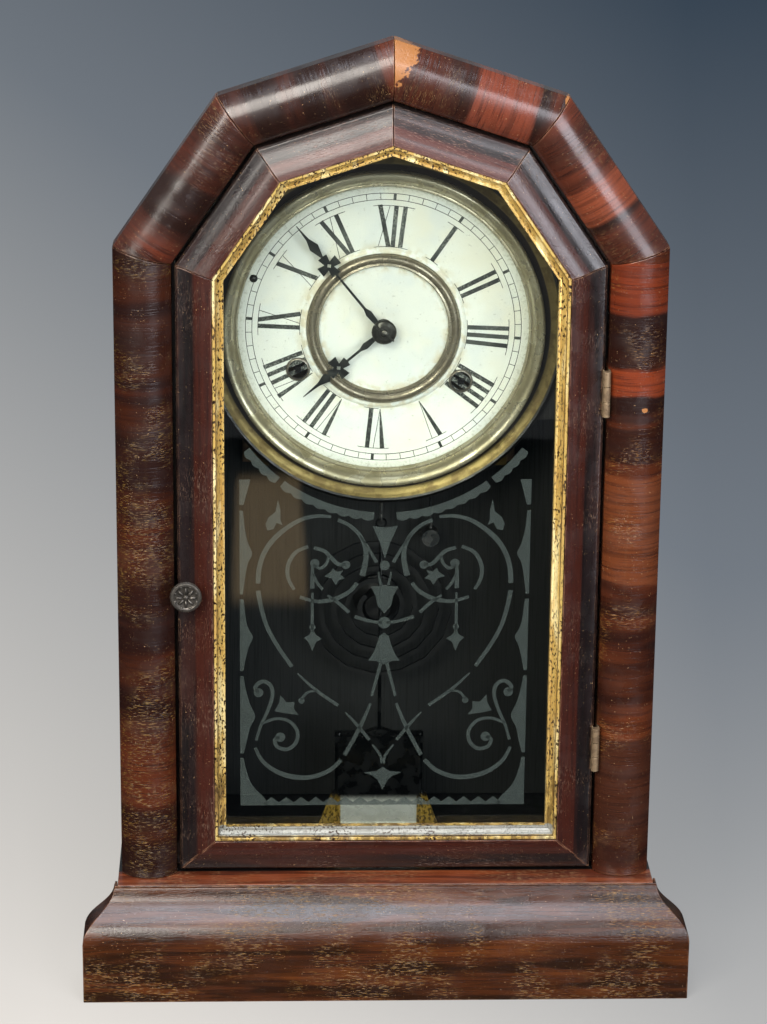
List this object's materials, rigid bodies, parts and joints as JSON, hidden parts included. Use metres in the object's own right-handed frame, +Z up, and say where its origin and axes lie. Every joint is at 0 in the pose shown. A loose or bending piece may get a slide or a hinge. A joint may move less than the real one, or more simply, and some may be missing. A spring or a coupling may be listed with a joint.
{
  "type": "shelf clock",
  "caption": "Arched wooden shelf clock on an ogee base, with half-round columns, a glazed door, painted dial, black hands, brass movement, pendulum and gong.",
  "frame": {"origin": "middle of the underside of the base, under the centre of the clock's overall box", "axes": "+Z up, -Y out of the dial and door towards the viewer, +X to the viewer's right"},
  "size_m": [0.2688, 0.1216, 0.4256],
  "materials": {
    "rosewood": "polished veneer, worn",
    "door_rosewood": "polished veneer, worn",
    "pine": "bare",
    "dark_board": "stained dark",
    "gilt": "gilded",
    "glass": "flat pane with a stencilled lower part",
    "hinge_brass": "tarnished",
    "pewter": "dark, rubbed",
    "dial_paint": "satin",
    "dial_brass": "lacquered, dulled",
    "black_steel": "black, satin",
    "clock_brass": "bare",
    "steel": "bare",
    "silvered_brass": "silvered and bare"
  },
  "bodies": {
    "case": {"base_front_moulding": "rosewood", "base_left_side": "rosewood", "base_right_side": "rosewood", "case_floor": "rosewood", "left_side_board": "rosewood", "right_side_board": "rosewood", "roof_board_left_lower": "rosewood", "roof_board_left_upper": "rosewood", "roof_board_right_upper": "rosewood", "roof_board_right_lower": "rosewood", "back_board": "pine", "left_column": "rosewood", "right_column": "rosewood", "arch_moulding_left_lower": "rosewood", "arch_moulding_left_upper": "rosewood", "arch_moulding_right_upper": "rosewood", "arch_moulding_right_lower": "rosewood", "upper_hinge_case_leaf": "hinge_brass", "lower_hinge_case_leaf": "hinge_brass", "dial_board": "dark_board", "movement_board": "pine", "dial_plate": "dial_paint", "dial_bezel": "dial_brass", "dial_centre_ring": "dial_brass", "winding_grommet_left": "hinge_brass", "winding_grommet_right": "hinge_brass", "movement_front_plate": "clock_brass", "movement_back_plate": "clock_brass", "gong_coil": "steel", "gong_stand": "black_steel"},
    "door": {"door_left_stile": "door_rosewood", "door_right_stile": "door_rosewood", "door_bottom_rail": "door_rosewood", "door_rail_left_lower": "door_rosewood", "door_rail_left_upper": "door_rosewood", "door_rail_right_upper": "door_rosewood", "door_rail_right_lower": "door_rosewood", "gilt_slip": "gilt", "door_glass": "glass", "upper_hinge_door_leaf": "hinge_brass", "lower_hinge_door_leaf": "hinge_brass"},
    "latch": {"door_knob": "pewter", "latch_tongue": "hinge_brass"},
    "minute_hand_set": {"minute_hand": "black_steel", "hand_washer": "black_steel", "centre_arbor": "steel"},
    "minute_wheel_set": {"minute_wheel": "clock_brass"},
    "hour_hand_set": {"hour_hand": "black_steel", "hour_wheel": "clock_brass"},
    "centre_wheel_set": {"centre_wheel": "clock_brass"},
    "third_wheel_set": {"third_wheel": "clock_brass"},
    "escape_wheel_set": {"escape_wheel": "clock_brass"},
    "time_great_wheel_set": {"time_great_wheel": "clock_brass"},
    "strike_great_wheel_set": {"strike_great_wheel": "clock_brass"},
    "time_winder": {"time_winding_arbor": "steel"},
    "strike_winder": {"strike_winding_arbor": "steel"},
    "pendulum_set": {"suspension_rod": "steel", "pendulum": "silvered_brass"},
    "verge_set": {"verge": "steel"},
    "hammer_set": {"strike_hammer": "steel"}
  },
  "joints": [
    {"name": "door_swing", "type": "hinge", "parent": "case", "child": "door", "pos_m": [0.0923, -0.03605, 0.19], "axis": [0, 0, 1], "range_deg": [0, 110]},
    {"name": "knob_turn", "type": "hinge", "parent": "door", "child": "latch", "pos_m": [-0.0878, -0.03125, 0.1854], "axis": [0, 1, 0], "range_deg": [0, 90]},
    {"name": "minute_hand_turn", "type": "hinge", "parent": "case", "child": "minute_hand_set", "pos_m": [-0.0018, 0.00875, 0.292], "axis": [0, 1, 0], "continuous": true},
    {"name": "minute_wheel_turn", "type": "hinge", "parent": "case", "child": "minute_wheel_set", "pos_m": [-0.01942, 0.01475, 0.28559], "axis": [0, 1, 0], "continuous": true},
    {"name": "hour_hand_turn", "type": "hinge", "parent": "case", "child": "hour_hand_set", "pos_m": [-0.0018, 0.00875, 0.292], "axis": [0, 1, 0], "continuous": true},
    {"name": "third_wheel_turn", "type": "hinge", "parent": "case", "child": "third_wheel_set", "pos_m": [-0.0128, 0.03875, 0.31666], "axis": [0, 1, 0], "continuous": true},
    {"name": "centre_wheel_turn", "type": "hinge", "parent": "case", "child": "centre_wheel_set", "pos_m": [-0.0018, 0.03875, 0.292], "axis": [0, 1, 0], "continuous": true},
    {"name": "escape_wheel_turn", "type": "hinge", "parent": "case", "child": "escape_wheel_set", "pos_m": [-0.0018, 0.03875, 0.33772], "axis": [0, 1, 0], "continuous": true},
    {"name": "time_great_wheel_turn", "type": "hinge", "parent": "case", "child": "time_great_wheel_set", "pos_m": [0.03228, 0.03875, 0.26814], "axis": [0, 1, 0], "continuous": true},
    {"name": "strike_great_wheel_turn", "type": "hinge", "parent": "case", "child": "strike_great_wheel_set", "pos_m": [-0.03906, 0.03875, 0.2735], "axis": [0, 1, 0], "continuous": true},
    {"name": "time_winding_turn", "type": "hinge", "parent": "case", "child": "time_winder", "pos_m": [0.03228, 0.03875, 0.26814], "axis": [0, 1, 0], "continuous": true},
    {"name": "strike_winding_turn", "type": "hinge", "parent": "case", "child": "strike_winder", "pos_m": [-0.03906, 0.03875, 0.2735], "axis": [0, 1, 0], "continuous": true},
    {"name": "pendulum_swing", "type": "hinge", "parent": "case", "child": "pendulum_set", "pos_m": [-0.0018, 0.00975, 0.361], "axis": [0, 1, 0], "range_deg": [-3, 3]},
    {"name": "verge_rock", "type": "hinge", "parent": "case", "child": "verge_set", "pos_m": [-0.0018, 0.01475, 0.358], "axis": [0, 1, 0], "range_deg": [-3, 3]},
    {"name": "hammer_lift", "type": "hinge", "parent": "case", "child": "hammer_set", "pos_m": [0.02198, 0.04075, 0.232], "axis": [0, -1, 0], "range_deg": [0, 12]}
  ],
  "couplings": [
    {"joint": "minute_wheel_turn", "follows": "minute_hand_turn", "ratio": -0.33333},
    {"joint": "hour_hand_turn", "follows": "minute_hand_turn", "ratio": 0.083333},
    {"joint": "centre_wheel_turn", "follows": "third_wheel_turn", "ratio": -0.125},
    {"joint": "escape_wheel_turn", "follows": "third_wheel_turn", "ratio": -10},
    {"joint": "time_great_wheel_turn", "follows": "third_wheel_turn", "ratio": 0.03125},
    {"joint": "verge_rock", "follows": "pendulum_swing", "ratio": 1}
  ]
}
